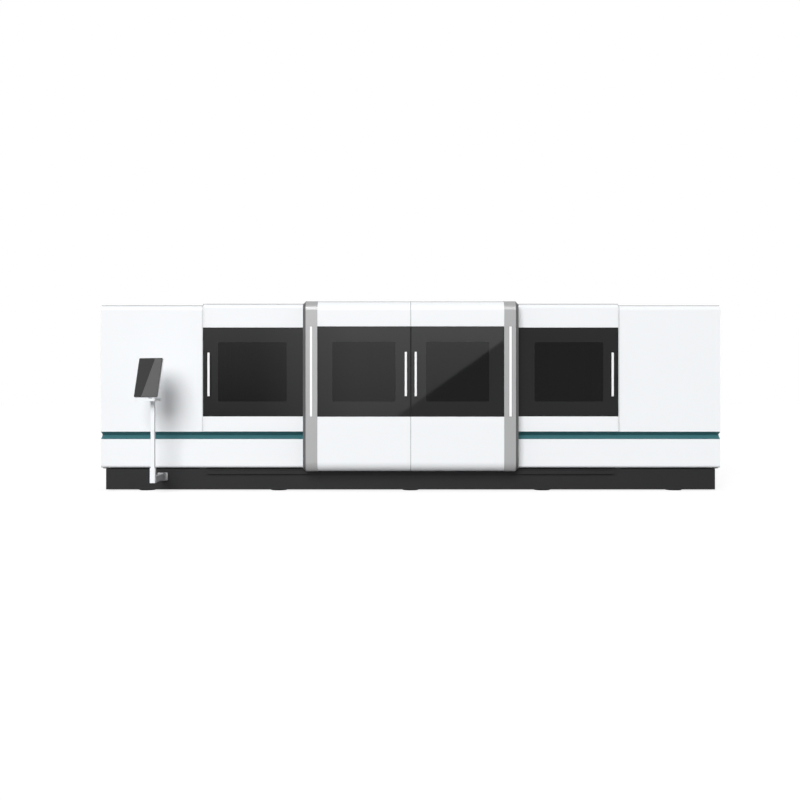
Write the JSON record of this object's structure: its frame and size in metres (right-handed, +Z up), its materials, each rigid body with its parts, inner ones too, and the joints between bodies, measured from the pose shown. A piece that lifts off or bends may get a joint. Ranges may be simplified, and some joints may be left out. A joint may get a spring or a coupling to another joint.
{
  "type": "laser cladding machine",
  "caption": "Long enclosed laser cladding machine with sliding glazed doors, a black plinth, a swivelling console and a chuck, tailstock and cladding head inside.",
  "frame": {"origin": "on the floor under the middle of the machine's outer box", "axes": "+X along the machine to the right seen from the front, +Y from the front to the back, +Z up"},
  "size_m": [7.4, 2.6546, 2.32],
  "materials": {
    "cover_white": "satin powder coat",
    "door_white": "satin powder coat",
    "band_grey": "silver painted aluminium",
    "accent_teal": "satin teal paint",
    "plinth_black": "satin black paint",
    "door_glass": "dark tinted laser safety glass",
    "light_white": "opal diffuser",
    "handle_white": "gloss white paint",
    "frame_grey": "satin grey paint",
    "door_frame_black": "matt black paint",
    "cast_iron": "painted cast iron",
    "machine_grey": "satin grey enamel",
    "rail_steel": "ground steel",
    "chuck_steel": "turned steel",
    "head_aluminium": "anodised",
    "nozzle_copper": "turned copper alloy",
    "arm_grey": "satin grey paint",
    "console_white": "satin powder coat",
    "neck_black": "moulded black",
    "display_black": "dark display glass"
  },
  "bodies": {
    "base": {"plinth": "plinth_black", "foot_pads": "plinth_black", "bed": "machine_grey", "linear_rails": "rail_steel", "headstock": "cast_iron", "enclosure_frame": "frame_grey", "door_rails": "plinth_black", "outer_cover_left": "cover_white", "outer_cover_right": "cover_white", "end_panel_left": "cover_white", "end_panel_right": "cover_white", "lower_cover_left": "cover_white", "lower_cover_right": "cover_white", "accent_groove_left": "accent_teal", "accent_groove_right": "accent_teal", "roof_panel": "cover_white", "extraction_collar": "head_aluminium", "rear_panels": "cover_white", "cabinet_shell": "frame_grey", "console_bracket": "arm_grey"},
    "centre_door_left": {"centre_door_left_panel": "door_white", "centre_door_left_frame": "door_frame_black", "centre_door_left_glass": "door_glass", "centre_door_left_band": "band_grey", "centre_door_left_light_strip": "light_white", "centre_door_left_handle": "handle_white"},
    "side_door_left": {"side_door_left_panel": "door_white", "side_door_left_frame": "door_frame_black", "side_door_left_glass": "door_glass", "side_door_left_handle": "handle_white"},
    "rear_door_left": {"rear_door_left": "cover_white"},
    "centre_door_right": {"centre_door_right_panel": "door_white", "centre_door_right_frame": "door_frame_black", "centre_door_right_glass": "door_glass", "centre_door_right_band": "band_grey", "centre_door_right_light_strip": "light_white", "centre_door_right_handle": "handle_white"},
    "side_door_right": {"side_door_right_panel": "door_white", "side_door_right_frame": "door_frame_black", "side_door_right_glass": "door_glass", "side_door_right_handle": "handle_white"},
    "rear_door_right": {"rear_door_right": "cover_white"},
    "spindle": {"spindle_chuck": "chuck_steel"},
    "jaw_1": {"chuck_jaw_1": "chuck_steel"},
    "jaw_2": {"chuck_jaw_2": "chuck_steel"},
    "jaw_3": {"chuck_jaw_3": "chuck_steel"},
    "tailstock": {"tailstock": "cast_iron"},
    "quill": {"tailstock_quill": "chuck_steel"},
    "centre_point": {"live_centre": "chuck_steel"},
    "column": {"column_carriage": "machine_grey"},
    "saddle": {"column_saddle": "machine_grey"},
    "arm": {"cross_arm": "machine_grey"},
    "head": {"cladding_head": "head_aluminium", "cladding_nozzle": "nozzle_copper"},
    "console_arm": {"console_arm": "arm_grey", "console_post": "console_white"},
    "console_head": {"console_tray": "console_white", "console_neck": "neck_black"},
    "console_screen": {"console_screen_housing": "console_white", "console_display": "display_black"}
  },
  "joints": [
    {"name": "centre_door_left_slide", "type": "slide", "parent": "base", "child": "centre_door_left", "axis": [-1, 0, 0], "range_m": [0, 1.16]},
    {"name": "centre_door_right_slide", "type": "slide", "parent": "base", "child": "centre_door_right", "axis": [1, 0, 0], "range_m": [0, 1.16]},
    {"name": "side_door_left_slide", "type": "slide", "parent": "base", "child": "side_door_left", "axis": [1, 0, 0], "range_m": [0, 1.04]},
    {"name": "side_door_right_slide", "type": "slide", "parent": "base", "child": "side_door_right", "axis": [-1, 0, 0], "range_m": [0, 1.04]},
    {"name": "rear_door_left_hinge", "type": "hinge", "parent": "base", "child": "rear_door_left", "pos_m": [0.294, 1.3173, 0.33], "axis": [0, 0, 1], "range_deg": [0, 110]},
    {"name": "rear_door_right_hinge", "type": "hinge", "parent": "base", "child": "rear_door_right", "pos_m": [1.906, 1.3173, 0.33], "axis": [0, 0, 1], "range_deg": [-110, 0]},
    {"name": "spindle_spin", "type": "hinge", "parent": "base", "child": "spindle", "pos_m": [-2.5996, 0.1269, 1.15], "axis": [1, 0, 0], "continuous": true},
    {"name": "jaw_1_slide", "type": "slide", "parent": "spindle", "child": "jaw_1", "axis": [0, 0, 1], "range_m": [-0.03, 0.025]},
    {"name": "jaw_2_slide", "type": "slide", "parent": "spindle", "child": "jaw_2", "axis": [0, -0.866, -0.5], "range_m": [-0.03, 0.025]},
    {"name": "jaw_3_slide", "type": "slide", "parent": "spindle", "child": "jaw_3", "axis": [0, 0.866, -0.5], "range_m": [-0.03, 0.025]},
    {"name": "tailstock_slide", "type": "slide", "parent": "base", "child": "tailstock", "axis": [1, 0, 0], "range_m": [-3.3, 1.2]},
    {"name": "quill_slide", "type": "slide", "parent": "tailstock", "child": "quill", "axis": [-1, 0, 0], "range_m": [0, 0.15]},
    {"name": "live_centre_spin", "type": "hinge", "parent": "quill", "child": "centre_point", "pos_m": [1.44, 0.1269, 1.15], "axis": [1, 0, 0], "continuous": true},
    {"name": "column_slide", "type": "slide", "parent": "base", "child": "column", "axis": [1, 0, 0], "range_m": [-1.7, 2]},
    {"name": "saddle_slide", "type": "slide", "parent": "column", "child": "saddle", "axis": [0, 0, 1], "range_m": [-0.24, 0.1]},
    {"name": "arm_slide", "type": "slide", "parent": "saddle", "child": "arm", "axis": [0, -1, 0], "range_m": [-0.1, 0.15]},
    {"name": "head_tilt", "type": "hinge", "parent": "arm", "child": "head", "pos_m": [-0.148, 0.2069, 1.85], "axis": [0, 1, 0], "range_deg": [-45, 45]},
    {"name": "console_arm_swivel", "type": "hinge", "parent": "base", "child": "console_arm", "pos_m": [-2.972, -0.6871, 0.133], "axis": [0, 0, 1], "range_deg": [-40, 25]},
    {"name": "console_head_swivel", "type": "hinge", "parent": "console_arm", "child": "console_head", "pos_m": [-2.972, -1.1231, 1.06], "axis": [0, 0, 1], "range_deg": [-60, 90]},
    {"name": "screen_tilt", "type": "hinge", "parent": "console_head", "child": "console_screen", "pos_m": [-2.9913, -1.18621, 1.3], "axis": [0.9563, -0.2924, 0], "range_deg": [-20, 4]}
  ],
  "couplings": [
    {"joint": "jaw_2_slide", "follows": "jaw_1_slide", "ratio": 1},
    {"joint": "jaw_3_slide", "follows": "jaw_1_slide", "ratio": 1}
  ]
}
